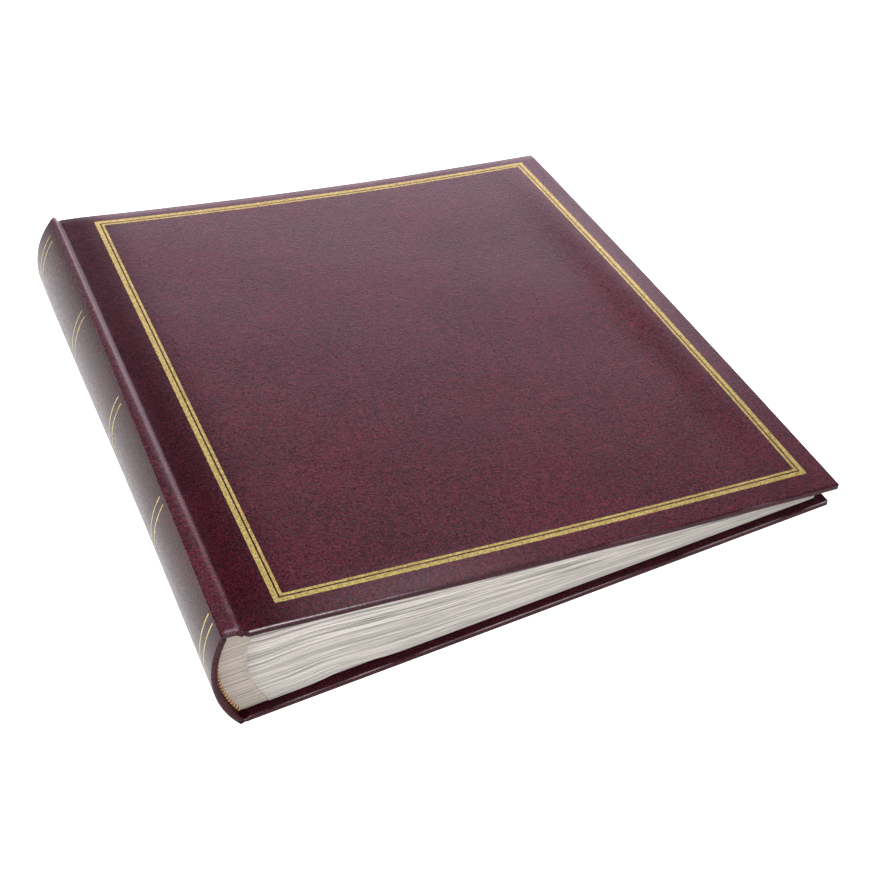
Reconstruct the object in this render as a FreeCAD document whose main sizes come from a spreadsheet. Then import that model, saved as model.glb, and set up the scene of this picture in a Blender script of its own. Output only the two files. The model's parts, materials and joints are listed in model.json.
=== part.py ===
import FreeCAD, Part
import math
import os
import Sketcher
from FreeCAD import Placement, Rotation, Vector

# Stamp album: a case binding with a rounded spine, lying on its back cover.
# Millimetres.  +X runs from the spine to the fore edge, +Y from tail to head and +Z up.
# The origin is the middle of the album's footprint, on the surface it lies on.
# Distances along X are counted from the back joint, and at() takes off the distance from there
# to the middle of the album.

DIMENSIONS = [
    # the case
    ("board_height", 320.0, "covers, tail to head"),
    ("board_width", 282.8, "covers, joint to fore edge"),
    ("board_thick", 2.4, "grey board inside each cover"),
    ("cloth_thick", 0.4, "leatherette"),
    ("turn_in", 15.0, "leatherette folded over the inside of a board"),
    ("edge_round", 0.8, "softened arrises of a covered board"),
    ("paste_thick", 0.2, "pastedown paper"),
    ("paste_margin", 3.5, "board edge to pastedown"),
    ("wedge_angle", 8.57, "between the two covers"),
    ("back_joint", 2.2, "start of the back board"),
    ("front_joint", 10.3, "start of the front board"),
    ("front_rise", 53.48, "top face of the front board at its start"),
    ("middle", 140.49, "half-way along the album"),
    # the spine
    ("spine_radius", 53.5, "outside of the rounded spine"),
    ("spine_half_angle", 30.8, "half of the arc that the spine covers"),
    ("spine_centre", 44.6, "axis of the rounding, along X"),
    ("spine_centre_rise", 27.4, "axis of the rounding, above the table"),
    ("stiffener_thick", 2.0, "card inside the spine"),
    ("foil_thick", 0.06, "gold foil"),
    ("band_width", 0.7, "one gold line across the spine"),
    ("band_pair", 5.4, "between the two lines of a pair"),
    ("band_pitch", 73.5, "from one pair to the next"),
    ("band_half_angle", 29.2, "half of the arc that a gold line covers"),
    # the joints
    ("strip_gap", 0.9, "spine corner to the cloth of the back joint"),
    ("ridge_middle", 4.75, "axis of the front joint's ridge, along X"),
    ("ridge_top", 54.9, "top of the ridge, above the table"),
    ("ridge_tilt", 2.0, "lean of the ridge towards the front board"),
    ("ridge_radius", 15.0, "rounded back of the front joint"),
    ("ridge_sweep", 36.0, "arc of the front joint"),
    ("ridge_thick", 0.6, "cloth and lining of the front joint"),
    # the gold frame on the front cover
    ("frame_from_joint", 14.3, "board edge to the outer line, at the joint"),
    ("frame_length", 258.0, "outer line, along X"),
    ("frame_height", 301.0, "outer line, tail to head"),
    ("frame_shift", 2.0, "the frame sits this far towards the head"),
    ("line_outer", 2.3, "width of the outer line"),
    ("line_gap", 0.8, "between the lines"),
    ("line_inner", 1.3, "width of the inner line"),
    # the book block
    ("block_height", 312.0, "leaves, tail to head"),
    ("fore_edge", 279.5, "where the leaves end"),
    ("leaf_thick", 0.12, "album leaf"),
    ("interleaf_thick", 0.02, "glassine interleaf"),
    ("leaf_pitch", 0.165, "one leaf and its interleaf"),
    ("crease_gap", 2.0, "crease axis to the stiff part of the leaf"),
    ("guard_radius", 49.5, "back of the guards"),
    ("guard_width", 12.6, "guards, back to crease"),
    ("guard_low", 3.95, "underside of the lowest guard"),
    ("guard_pitch", 4.56, "one section's guards"),
    ("guard_slit", 0.1, "between two sections' guards"),
    ("fore_low", 4.02, "middle of the lowest section at the fore edge"),
    ("fore_pitch", 0.53, "from one section to the next at the fore edge"),
    ("flyleaf_thick", 0.15, "flyleaf paper"),
    ("front_flyleaf_rise", 49.38, "front flyleaf at its crease"),
    ("front_flyleaf_fore", 9.16, "front flyleaf at the fore edge"),
    ("back_flyleaf_rise", 3.55, "underside of the back flyleaf"),
    ("tape_thick", 0.35, "sewing tape"),
    ("tape_width", 14.0, "sewing tape"),
    ("tape_pitch", 68.0, "from one tape to the next"),
    ("mull_thick", 0.3, "gauze lining over the tapes"),
    ("mull_height", 296.0, "gauze lining, tail to head"),
    ("headband_radius", 1.0, "stitched cord of a headband"),
    ("headband_half_angle", 27.0, "half of the arc that a headband covers"),
]
SECTIONS = 10
LEAVES_PER_SECTION = 3
TAPES = 4
BAND_PAIRS = 5
CLEAR = 1.0  # cutting tools run this far past the faces they cut

os.makedirs("parts", exist_ok=True)
doc = FreeCAD.newDocument("stamp_album")
sheet = doc.addObject("Spreadsheet::Sheet", "dims")
for row, (alias, value, meaning) in enumerate(DIMENSIONS, start=1):
    sheet.set(f"A{row}", meaning)
    sheet.set(f"B{row}", str(value))
    sheet.setAlias(f"B{row}", alias)
doc.recompute()

nodes = []


def dim(alias):
    return float(sheet.get(alias))


def worked_out(expression):
    """The number that a sheet expression gives."""
    result = sheet.evalExpression(expression)
    return float(result.Value if hasattr(result, "Value") else result)


def sub_part(obj, name):
    """Labels a finished sub-part, which names its file."""
    obj.Label = name
    nodes.append(obj)
    return obj


def at(from_joint, across, rise, rotation=None):
    """A placement whose X is counted from the joint, not from the middle of the album."""
    return Placement(Vector(from_joint - dim("middle"), across, rise), rotation or Rotation())


def bind(obj, **sizes):
    for prop, expression in sizes.items():
        obj.setExpression(prop, expression)
    return obj


def box(name, length, width, height, placement):
    obj = doc.addObject("Part::Box", name)
    bind(obj, Length=length, Width=width, Height=height)
    obj.Placement = placement
    return obj


def boolean(kind, name, base, tool):
    obj = doc.addObject(kind, name)
    obj.Base = base
    obj.Tool = tool
    return obj


def group(name, members):
    """Separate solids that share one node."""
    obj = doc.addObject("Part::Compound", name)
    obj.Links = members
    return obj


# ---------------------------------------------------------------- round pieces about the Y axis


def about_y(centre, rise, high_end, start):
    """Stands a cylinder's axis along Y, from high_end towards the tail, with its arc from start."""
    turn = Rotation(Vector(1, 0, 0), 90) * Rotation(Vector(0, 0, 1), start)
    return at(centre, high_end, rise, turn)


def round_bar(name, radius, length, sweep, placement):
    obj = doc.addObject("Part::Cylinder", name)
    bind(obj, Radius=radius, Height=length, Angle=sweep)
    obj.Placement = placement
    return obj


def arc_strip(name, radius, wall, length, half_angle, high_end):
    """A strip bent round the spine's axis: radius outside, wall thick, high_end its head end."""
    start = 180 - dim(half_angle)
    centre = (dim("spine_centre"), dim("spine_centre_rise"))
    outer = about_y(*centre, high_end, start)
    inner = about_y(*centre, high_end + CLEAR, 0)
    whole = round_bar(f"{name}_round", radius, length, f"2 * dims.{half_angle}", outer)
    core = round_bar(f"{name}_core", f"{radius} - {wall}", f"{length} + {2 * CLEAR}", "360", inner)
    return boolean("Part::Cut", name, whole, core)


# ---------------------------------------------------------------- sketched pieces


def sketch_on(body, role, name, lift=None):
    sketch = body.newObject("Sketcher::SketchObject", name)
    plane = next(f for f in body.Origin.OriginFeatures if f.Role == role)
    sketch.AttachmentSupport = (plane, [""])
    sketch.MapMode = "FlatFace"
    if lift:
        sketch.setExpression("AttachmentOffset.Base.z", lift)
    return sketch


def pin_corner(sketch, line, point, axis, expression):
    """Ties one coordinate of a sketch point to an expression, or to the axis when it is 0."""
    if expression == "0":
        other_axis = -2 if axis == "X" else -1
        sketch.addConstraint(Sketcher.Constraint("PointOnObject", line, point, other_axis))
        return
    index = sketch.addConstraint(Sketcher.Constraint(f"Distance{axis}", -1, 1, line, point, 1.0))
    sketch.setExpression(f"Constraints[{index}]", expression)


def rectangle(sketch, low_x, low_y, high_x, high_y):
    """Adds a rectangle whose four sides stand at the given expressions."""
    guess = [worked_out(e) for e in (low_x, low_y, high_x, high_y)]
    corners = [(0, 1), (2, 1), (2, 3), (0, 3)]
    points = [Vector(guess[a], guess[b], 0) for a, b in corners]
    first = sketch.GeometryCount
    for k in range(4):
        sketch.addGeometry(Part.LineSegment(points[k], points[(k + 1) % 4]), False)
    for k in range(4):
        following = first + (k + 1) % 4
        sketch.addConstraint(Sketcher.Constraint("Coincident", first + k, 2, following, 1))
        level = "Horizontal" if k % 2 == 0 else "Vertical"
        sketch.addConstraint(Sketcher.Constraint(level, first + k))
    pin_corner(sketch, first, 1, "X", low_x)
    pin_corner(sketch, first, 1, "Y", low_y)
    pin_corner(sketch, first + 2, 1, "X", high_x)
    pin_corner(sketch, first + 2, 1, "Y", high_y)


def pad(body, name, sketch, length):
    feature = body.newObject("PartDesign::Pad", name)
    feature.Profile = sketch
    feature.setExpression("Length", length)
    doc.recompute()
    return feature


def pocket(body, name, sketch, length, reversed_way):
    """Cuts a pocket and makes sure that it took material away."""
    before = body.Shape.Volume
    feature = body.newObject("PartDesign::Pocket", name)
    feature.Profile = sketch
    feature.Reversed = reversed_way
    feature.setExpression("Length", length)
    doc.recompute()
    if not body.Shape.Volume < before:
        raise RuntimeError(f"{body.Name}: pocket {name} cut nothing")
    return feature


COVER_THICK = "(dims.board_thick + 2 * dims.cloth_thick)"
HALF_HEIGHT = "dims.board_height / 2"


def covering(name, placement):
    """Leatherette round one board: outer face at the bottom, turn-ins on top, open at the joint."""
    body = doc.addObject("PartDesign::Body", name)
    outline = sketch_on(body, "XY_Plane", f"{name}_outline")
    rectangle(outline, "0", f"-{HALF_HEIGHT}", "dims.board_width", HALF_HEIGHT)
    block = pad(body, f"{name}_pad", outline, COVER_THICK)

    arrises = []
    for number, edge in enumerate(block.Shape.Edges, start=1):
        level = edge.BoundBox.ZLength < 0.01
        if level and edge.BoundBox.XMax > 0.01:
            arrises.append(f"Edge{number}")
    soft = body.newObject("PartDesign::Fillet", f"{name}_soft")
    soft.Base = (block, arrises)
    soft.setExpression("Radius", "dims.edge_round")
    doc.recompute()

    seat = sketch_on(body, "YZ_Plane", f"{name}_board_seat")
    side = f"({HALF_HEIGHT} - dims.cloth_thick)"
    top = "(dims.board_thick + dims.cloth_thick)"
    rectangle(seat, f"-{side}", "dims.cloth_thick", side, top)
    pocket(body, f"{name}_seat", seat, "dims.board_width - dims.cloth_thick", True)

    window = sketch_on(body, "XY_Plane", f"{name}_window", lift=COVER_THICK)
    side = f"({HALF_HEIGHT} - dims.turn_in)"
    rectangle(window, "0", f"-{side}", "dims.board_width - dims.turn_in", side)
    pocket(body, f"{name}_opening", window, "dims.cloth_thick", False)
    body.Placement = placement
    return sub_part(body, name)


def pastedown(name, placement):
    """Paper on the inside of a cover, and the card that fills the space between the turn-ins."""
    body = doc.addObject("PartDesign::Body", name)
    infill = sketch_on(body, "XY_Plane", f"{name}_infill", "dims.board_thick + dims.cloth_thick")
    side = f"({HALF_HEIGHT} - dims.turn_in)"
    rectangle(infill, "0", f"-{side}", "dims.board_width - dims.turn_in", side)
    pad(body, f"{name}_filler", infill, "dims.cloth_thick")
    paper = sketch_on(body, "XY_Plane", f"{name}_paper", COVER_THICK)
    side = f"({HALF_HEIGHT} - dims.paste_margin)"
    rectangle(paper, "0", f"-{side}", "dims.board_width - dims.paste_margin", side)
    pad(body, f"{name}_sheet", paper, "dims.paste_thick")
    body.Placement = placement
    return sub_part(body, name)


def board(name, placement):
    local = Vector(0, -dim("board_height") / 2 + dim("cloth_thick"), dim("cloth_thick"))
    height = "dims.board_height - 2 * dims.cloth_thick"
    width = "dims.board_width - dims.cloth_thick"
    seat = placement * Placement(local, Rotation())
    return sub_part(box(name, width, height, "dims.board_thick", seat), name)


def foil_line(name, inset, width, placement):
    """One rectangular line of gold foil on the front cover, inset from the outer line's edge."""
    sides = {
        "low_x": f"(dims.frame_from_joint + {inset})",
        "low_y": f"(dims.frame_shift - dims.frame_height / 2 + {inset})",
        "high_x": f"(dims.frame_from_joint + dims.frame_length - {inset})",
        "high_y": f"(dims.frame_shift + dims.frame_height / 2 - {inset})",
    }
    body = doc.addObject("PartDesign::Body", name)
    sketch = sketch_on(body, "XY_Plane", f"{name}_outline")
    rectangle(sketch, *sides.values())
    rectangle(
        sketch,
        f"{sides['low_x']} + {width}",
        f"{sides['low_y']} + {width}",
        f"{sides['high_x']} - {width}",
        f"{sides['high_y']} - {width}",
    )
    pad(body, f"{name}_foil", sketch, "dims.foil_thick")
    body.Placement = placement
    return sub_part(body, name)


# ---------------------------------------------------------------- the case

# A cover is drawn with its outer face down.  The front cover is turned over about its length and
# then tipped by the wedge angle, so that its top face starts at front_rise.
back_seat = at(dim("back_joint"), 0, 0)
tip = Rotation(Vector(0, 1, 0), dim("wedge_angle"))
turn_over = Rotation(Vector(1, 0, 0), 180)
front_seat = at(dim("front_joint"), 0, dim("front_rise"), tip * turn_over)
front_top = at(dim("front_joint"), 0, dim("front_rise"), tip)

for side, seat in (("back", back_seat), ("front", front_seat)):
    board(f"{side}_board", seat)
    covering(f"{side}_covering", seat)
    pastedown(f"{side}_pastedown", seat)
foil_line("front_gold_line_outer", "0", "dims.line_outer", front_top)
inner_inset = "(dims.line_outer + dims.line_gap)"
foil_line("front_gold_line_inner", inner_inset, "dims.line_inner", front_top)


# ---------------------------------------------------------------- the joints of the case

# The back joint is a flat strip between the spine's lower corner and the back board.
spine_corner = dim("spine_centre") - dim("spine_radius") * math.cos(
    math.radians(dim("spine_half_angle"))
)
strip_start = spine_corner + dim("strip_gap")
strip = box(
    "back_strip",
    f"dims.back_joint - ({strip_start:.4f})",
    "dims.board_height",
    "dims.cloth_thick",
    at(strip_start, -dim("board_height") / 2, 0),
)
sub_part(strip, "back_joint_cloth")

# The front joint is a shallow ridge between the spine's upper corner and the front board.
ridge_start = 90 - dim("ridge_tilt") - dim("ridge_sweep") / 2
ridge_rise = dim("ridge_top") - dim("ridge_radius")
half = dim("board_height") / 2
ridge = boolean(
    "Part::Cut",
    "front_ridge",
    round_bar(
        "front_ridge_round",
        "dims.ridge_radius",
        "dims.board_height",
        "dims.ridge_sweep",
        about_y(dim("ridge_middle"), ridge_rise, half, ridge_start),
    ),
    round_bar(
        "front_ridge_core",
        "dims.ridge_radius - dims.ridge_thick",
        f"dims.board_height + {2 * CLEAR}",
        "360",
        about_y(dim("ridge_middle"), ridge_rise, half + CLEAR, 0),
    ),
)
sub_part(ridge, "front_joint_cloth")


# ---------------------------------------------------------------- the spine

stiffener = arc_strip(
    "stiffener",
    "(dims.spine_radius - dims.cloth_thick)",
    "dims.stiffener_thick",
    "(dims.board_height - 2 * dims.cloth_thick)",
    "spine_half_angle",
    half - dim("cloth_thick"),
)
sub_part(stiffener, "spine_stiffener")

# The covering wraps the stiffener: outside, over both ends, and turned in along the ends.
shell_wall = "(dims.stiffener_thick + 2 * dims.cloth_thick)"
wrap = arc_strip(
    "wrap", "dims.spine_radius", shell_wall, "dims.board_height", "spine_half_angle", half
)
card_room = arc_strip(
    "card_room",
    "(dims.spine_radius - dims.cloth_thick)",
    "dims.stiffener_thick",
    "(dims.board_height - 2 * dims.cloth_thick)",
    "spine_half_angle",
    half - dim("cloth_thick"),
)
between_turn_ins = round_bar(
    "between_turn_ins",
    "dims.spine_radius - dims.cloth_thick - dims.stiffener_thick",
    "dims.board_height - 2 * dims.turn_in",
    "360",
    about_y(dim("spine_centre"), dim("spine_centre_rise"), half - dim("turn_in"), 0),
)
hollow_wrap = boolean("Part::Cut", "hollow_wrap", wrap, card_room)
sub_part(boolean("Part::Cut", "open_wrap", hollow_wrap, between_turn_ins), "spine_covering")

# Gold lines across the spine, in evenly spaced pairs.
bands = []
for pair in range(BAND_PAIRS):
    pair_middle = (pair - (BAND_PAIRS - 1) / 2) * dim("band_pitch")
    for way in (-1, 1):
        middle = pair_middle + way * dim("band_pair") / 2
        bands.append(
            arc_strip(
                f"band_{2 * pair + (way + 1) // 2}",
                "(dims.spine_radius + dims.foil_thick)",
                "dims.foil_thick",
                "dims.band_width",
                "band_half_angle",
                middle + dim("band_width") / 2,
            )
        )
sub_part(group("bands", bands), "spine_gold_bands")


# ---------------------------------------------------------------- the back of the book block

# Folded guards fill the rounding behind the leaves, one stack for each section.
block_half = dim("block_height") / 2
guard_back = about_y(dim("spine_centre"), dim("spine_centre_rise"), block_half, 0)
guard_front = about_y(
    dim("spine_centre") + dim("guard_width"), dim("spine_centre_rise"), block_half + CLEAR, 0
)
crescent = boolean(
    "Part::Cut",
    "guard_crescent",
    round_bar("guard_round", "dims.guard_radius", "dims.block_height", "360", guard_back),
    round_bar(
        "guard_creases", "dims.guard_radius", f"dims.block_height + {2 * CLEAR}", "360", guard_front
    ),
)
slabs = []
for number in range(SECTIONS):
    rise = dim("guard_low") + number * dim("guard_pitch")
    slabs.append(
        box(
            f"guard_slab_{number}",
            "dims.spine_radius",
            f"dims.block_height + {2 * CLEAR}",
            "dims.guard_pitch - dims.guard_slit",
            at(dim("spine_centre") - dim("spine_radius"), -block_half - CLEAR, rise),
        )
    )
guards = boolean("Part::Common", "guards", crescent, group("guard_slabs", slabs))
sub_part(guards, "guard_strips")

tapes = []
for number in range(TAPES):
    middle = (number - (TAPES - 1) / 2) * dim("tape_pitch")
    tapes.append(
        arc_strip(
            f"tape_{number}",
            "(dims.guard_radius + dims.tape_thick)",
            "dims.tape_thick",
            "dims.tape_width",
            "headband_half_angle",
            middle + dim("tape_width") / 2,
        )
    )
sub_part(group("tapes", tapes), "sewing_tapes")

mull = arc_strip(
    "mull",
    "(dims.guard_radius + dims.tape_thick + dims.mull_thick)",
    "dims.mull_thick",
    "dims.mull_height",
    "headband_half_angle",
    dim("mull_height") / 2,
)
sub_part(mull, "mull_lining")

for end, way in (("tail", -1), ("head", 1)):
    cord = doc.addObject("Part::Torus", f"{end}_cord")
    bind(
        cord,
        Radius1="dims.guard_radius - dims.headband_radius / 2",
        Radius2="dims.headband_radius",
        Angle3="2 * dims.headband_half_angle",
    )
    cord.Placement = about_y(
        dim("spine_centre"),
        dim("spine_centre_rise"),
        way * (block_half + dim("headband_radius")),
        180 - dim("headband_half_angle"),
    )
    sub_part(cord, f"{end}_headband")


# ---------------------------------------------------------------- the leaves


def crease(rise):
    """How far from the joint the guards end, at one height."""
    drop = rise - dim("spine_centre_rise")
    back = dim("spine_centre") - math.sqrt(dim("guard_radius") ** 2 - drop**2)
    return back + dim("guard_width")


def sheet_of_paper(name, rise, fore_rise, lift, thickness):
    """A flat sheet from beyond its crease to the fore edge, lifted off the line between them."""
    start = crease(rise)
    slope = math.degrees(math.atan2(rise - fore_rise, dim("fore_edge") - start))
    lean = Rotation(Vector(0, 1, 0), slope)
    hinge = at(start, 0, rise, lean)
    corner = Placement(Vector(dim("crease_gap"), -block_half, lift), Rotation())
    length = f"(dims.fore_edge - {start:.4f}) / cos({slope:.5f} deg) - dims.crease_gap"
    return box(name, length, "dims.block_height", thickness, hinge * corner)


for section in range(1, SECTIONS + 1):
    # section 1 is the first one under the front cover, so the highest
    step = SECTIONS - section + 0.5
    rise = dim("guard_low") + step * dim("guard_pitch") - dim("guard_slit") / 2
    fore_rise = dim("fore_low") + (SECTIONS - section) * dim("fore_pitch")
    glassine = []
    for layer in range(LEAVES_PER_SECTION):
        low = (LEAVES_PER_SECTION / 2 - 1 - layer) * dim("leaf_pitch")
        leaf = LEAVES_PER_SECTION * (section - 1) + layer + 1
        name = f"leaf_{leaf:02d}"
        sub_part(sheet_of_paper(name, rise, fore_rise, low, "dims.leaf_thick"), name)
        above = low + (dim("leaf_pitch") + dim("leaf_thick") - dim("interleaf_thick")) / 2
        glassine.append(
            sheet_of_paper(f"glassine_{leaf:02d}", rise, fore_rise, above, "dims.interleaf_thick")
        )
    sub_part(group(f"glassine_group_{section:02d}", glassine), f"interleaves_{section:02d}")

sub_part(
    sheet_of_paper(
        "front_sheet",
        dim("front_flyleaf_rise"),
        dim("front_flyleaf_fore"),
        0,
        "dims.flyleaf_thick",
    ),
    "front_flyleaf",
)
sub_part(
    sheet_of_paper(
        "back_sheet",
        dim("back_flyleaf_rise"),
        dim("back_flyleaf_rise"),
        0,
        "dims.flyleaf_thick",
    ),
    "back_flyleaf",
)


# ---------------------------------------------------------------- check and write

doc.recompute()
for obj in doc.Objects:
    if "Invalid" in obj.State or "Error" in obj.State:
        raise RuntimeError(f"{obj.Label} failed to recompute: {obj.State}")
for obj in nodes:
    shape = obj.Shape
    if shape.isNull() or not shape.isValid() or not shape.Solids:
        raise RuntimeError(f"{obj.Label} has no valid solid")
whole = Part.makeCompound([obj.Shape for obj in nodes]).BoundBox
print(f"{len(nodes)} nodes, X {whole.XMin:.3f} {whole.XMax:.3f}, Y {whole.YMin:.3f} {whole.YMax:.3f}")
print(f"Z {whole.ZMin:.3f} {whole.ZMax:.3f}")
for obj in nodes:
    obj.Shape.exportStep(f"parts/{obj.Label}.step")
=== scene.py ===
"""The looks of a stamp album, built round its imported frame.

Everything is in metres in the frame's own axes: X from the spine to the fore edge, Y from tail to
head, Z up. A cover has its own directions: u from the joint to the fore edge, v from tail to head,
and depth inwards from its outer face.
"""

import json
import math

import bmesh
import bpy
import numpy as np
from mathutils import Matrix, Vector

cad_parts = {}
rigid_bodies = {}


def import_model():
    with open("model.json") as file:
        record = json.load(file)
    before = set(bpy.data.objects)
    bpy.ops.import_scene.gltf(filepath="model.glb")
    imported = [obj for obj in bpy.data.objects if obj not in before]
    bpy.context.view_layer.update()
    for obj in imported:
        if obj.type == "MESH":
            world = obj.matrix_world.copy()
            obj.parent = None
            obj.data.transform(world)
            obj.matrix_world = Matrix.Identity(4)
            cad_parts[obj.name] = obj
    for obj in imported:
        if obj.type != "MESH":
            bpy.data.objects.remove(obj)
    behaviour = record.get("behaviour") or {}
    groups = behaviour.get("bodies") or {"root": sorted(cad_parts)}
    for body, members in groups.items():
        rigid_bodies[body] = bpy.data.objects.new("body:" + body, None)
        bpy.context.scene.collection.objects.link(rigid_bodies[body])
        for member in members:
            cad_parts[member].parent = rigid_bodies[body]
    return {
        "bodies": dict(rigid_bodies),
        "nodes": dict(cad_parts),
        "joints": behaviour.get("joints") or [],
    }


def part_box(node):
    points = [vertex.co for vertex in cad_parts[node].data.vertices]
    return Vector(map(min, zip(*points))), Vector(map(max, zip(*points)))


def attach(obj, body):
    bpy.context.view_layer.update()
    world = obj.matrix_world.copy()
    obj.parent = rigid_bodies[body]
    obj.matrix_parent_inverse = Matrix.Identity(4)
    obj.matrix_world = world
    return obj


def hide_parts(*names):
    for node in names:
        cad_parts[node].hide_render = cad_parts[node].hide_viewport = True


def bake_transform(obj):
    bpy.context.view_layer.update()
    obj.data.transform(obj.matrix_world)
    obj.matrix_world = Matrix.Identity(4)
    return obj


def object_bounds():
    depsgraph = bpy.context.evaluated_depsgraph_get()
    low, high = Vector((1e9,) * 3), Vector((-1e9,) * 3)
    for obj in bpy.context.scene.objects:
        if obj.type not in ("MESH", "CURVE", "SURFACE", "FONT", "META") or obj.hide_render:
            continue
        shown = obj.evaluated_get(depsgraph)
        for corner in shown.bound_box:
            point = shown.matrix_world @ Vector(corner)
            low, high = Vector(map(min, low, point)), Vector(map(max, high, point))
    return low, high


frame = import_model()
cad_bounds = [list(corner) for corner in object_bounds()]

MM = 0.001
TAIL_TO_HEAD = (0.0, 1.0, 0.0)

SHEETS_PER_LEAF = 4  # two thicknesses of page, each with glassine above it
CREASE_SET_BACK = 1.4 * MM  # the leaves start this far inside the guards' corners
FOIL_LIFT = 0.03 * MM
LEATHER_ROUND = 0.6 * MM  # radius of the cloth round an arris
TURN_IN = 15.0 * MM
SHELL_THICK = 2.8 * MM  # the spine's card with its cloth on both sides
JOINT_CLOTH = 1.7 * MM  # the cloth is double where it is turned in at tail and head

# The album has settled out of square: its shoulder leans over the block, more at the head.
LEAN_TAIL = 0.45 * MM
LEAN_HEAD = 5.3 * MM
LIFT_TAIL = 0.3 * MM
LIFT_HEAD = 1.0 * MM
BELLY_HEAD = 2.2 * MM  # the spine bulges low down, towards the head
SAG_TAIL = 1.3 * MM  # the front cover sags between the joint and the fore edge
SAG_HEAD = 2.7 * MM
FORE_CROWN = 1.2 * MM  # and its fore edge is crowned
FORE_SWELL = 1.5 * MM  # with a swelling just inside it

GROOVE_U = -3.3 * MM  # bottom of the groove between the front joint's ridge and the cover
CREST_U = GROOVE_U - 2.4 * MM  # crest of the ridge
SEAM_U = CREST_U + 0.1 * MM  # where the spine's leatherette hands over to the front cover's
CREST_TAIL = 0.35 * MM  # height of the crest over the board's face
CREST_HEAD = 2.1 * MM
RIDGE_FALL = 3.7 * MM  # from the crest down to the cover
GROOVE_DEEP = 0.04 * MM
GROOVE_DEEPER_AT_HEAD = 1.0 * MM
HOLLOW = 0.26 * MM  # the cover dips beside the groove
CREST_HIGHLIGHT = 0.06  # how strong the painted highlight on the crest is

# How much wider some gaps between sheets are near the spine, by the sheet's place from the bottom.
SHEET_GAPS = {14: 2.6, 25: 4.2, 34: 2.2, 45: 7.5, 46: 2.6, 61: 4.8, 72: 2.0, 83: 2.8, 98: 1.8}
PAGE_STOCK = 0.28 * MM  # two thicknesses of page and the air between them, near the spine
PAGE_STOCK_AT_FORE_EDGE = 0.055 * MM
FULL_AFTER = 8 * MM  # a page is fully thick this far from its hinge
PITCH_FREE_AFTER = 18 * MM  # the sheets leave their even pitch within this of the crease
GAPS_OPEN_AFTER = 26 * MM  # and the wider gaps open within this
GLASSINE_STOCK = 0.02 * MM
FLYLEAF_STOCK = 0.14 * MM
OPEN_GUARDS = (25, 45, 61)  # guards that stand back, which leaves a line between their neighbours
OPEN_BY = 1.6 * MM
ARCH = 3.3 * MM  # the lowest sheets arch up beside the spine
ARCH_AT = 33 * MM
ARCH_WIDTH = 16 * MM
UNEVEN_PITCH = 0.13  # how much the pitch of the sheets varies
DRIFT = 0.48 * MM  # and how much they wave together in the middle of the block
SETTLED_WITHIN = 60 * MM  # the shoulder's lean dies out over this much of a sheet
RAGGED = 0.16 * MM  # unevenness of a sheet's ends
RIDE_UP = 2.3 * MM  # the back flyleaf lifts off the board beside the joint
RIDE_UP_AT = 37 * MM
RIDE_UP_WIDTH = 12 * MM


# ---- numbers from the frame


def vertices(node):
    return np.array([v.co for v in frame["nodes"][node].data.vertices], float)


def reach(node, direction):
    """How far a node reaches along a direction, lowest and highest."""
    along = vertices(node) @ np.array(direction)
    return along.min(), along.max()


def fore_rise(node):
    """The height of a sheet at the fore edge."""
    points = vertices(node)
    return points[points[:, 0] > points[:, 0].max() - MM][:, 2].mean()


def step_values(values):
    """The distinct values in an array, to a hundredth of a millimetre."""
    return np.unique(np.round(values, 5))


class Cover:
    """The directions and sizes of one cover, read from its leatherette in the frame."""

    def __init__(self, covering, along, outwards):
        self.along = np.array(along)
        self.outwards = np.array(outwards)
        start, end = reach(covering, along)
        inner, outer = reach(covering, outwards)
        self.origin = self.along * start + self.outwards * outer
        self.width = end - start
        self.thick = outer - inner
        self.tail, self.head = reach(covering, TAIL_TO_HEAD)

    def place(self, u, v, depth):
        u, v, depth = np.broadcast_arrays(u, v, depth)
        flat = self.origin + u[..., None] * self.along - depth[..., None] * self.outwards
        flat[..., 1] = v
        return flat

    def inside(self, u, v):
        """How far inside the nearest of the cover's three free edges a place is."""
        return np.minimum(np.minimum(v - self.tail, self.head - v), self.width - u)

    def local(self, point):
        """u and height over the outer face of one point."""
        offset = np.array(point) - self.origin
        return offset @ self.along, offset @ self.outwards


joint_at = {joint["name"]: np.array(joint["pos_m"], float) for joint in frame["joints"]}
shoulder = joint_at["front_joint_fold"]
heel = joint_at["back_cover_hinge"]

frame_low, frame_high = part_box("front_gold_line_outer")
wedge = math.atan2(frame_high.z - frame_low.z, frame_high.x - frame_low.x)


cover_tail, cover_head = reach("back_covering", TAIL_TO_HEAD)


def along_book(v):
    """How far v is from the tail edge to the head edge, 0 to 1."""
    return (v - cover_tail) / (cover_head - cover_tail)


front = Cover(
    "front_covering",
    (math.cos(wedge), 0.0, -math.sin(wedge)),
    (math.sin(wedge), 0.0, math.cos(wedge)),
)
back = Cover("back_covering", (1.0, 0.0, 0.0), (0.0, 0.0, -1.0))

chord = shoulder[2] - heel[2]
sagitta = heel[0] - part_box("spine_covering")[0].x
spine_radius = (chord**2 / 4 + sagitta**2) / (2 * sagitta)
spine_centre = np.array([heel[0] - sagitta + spine_radius, 0.0, heel[2] + chord / 2])
spine_half = math.asin(chord / 2 / spine_radius)

guard_low, guard_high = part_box("guard_strips")
guard_radius = spine_centre[0] - guard_low.x
block_tail, block_head = guard_low.y, guard_high.y
fore_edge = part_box("leaf_01")[1].x
leaf_names = sorted(name for name in frame["nodes"] if name.startswith("leaf_"))
sections = sorted(name for name in frame["bodies"] if name.startswith("section_"))
leaves_per_section = len(leaf_names) // len(sections)
sheet_count = SHEETS_PER_LEAF * len(leaf_names)


def guard_back(rise):
    """Where the back of the guards is at one height, along X."""
    return spine_centre[0] - np.sqrt(guard_radius**2 - (rise - spine_centre[2]) ** 2)


guard_width = guard_high.x - guard_back(guard_high.z)


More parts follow.
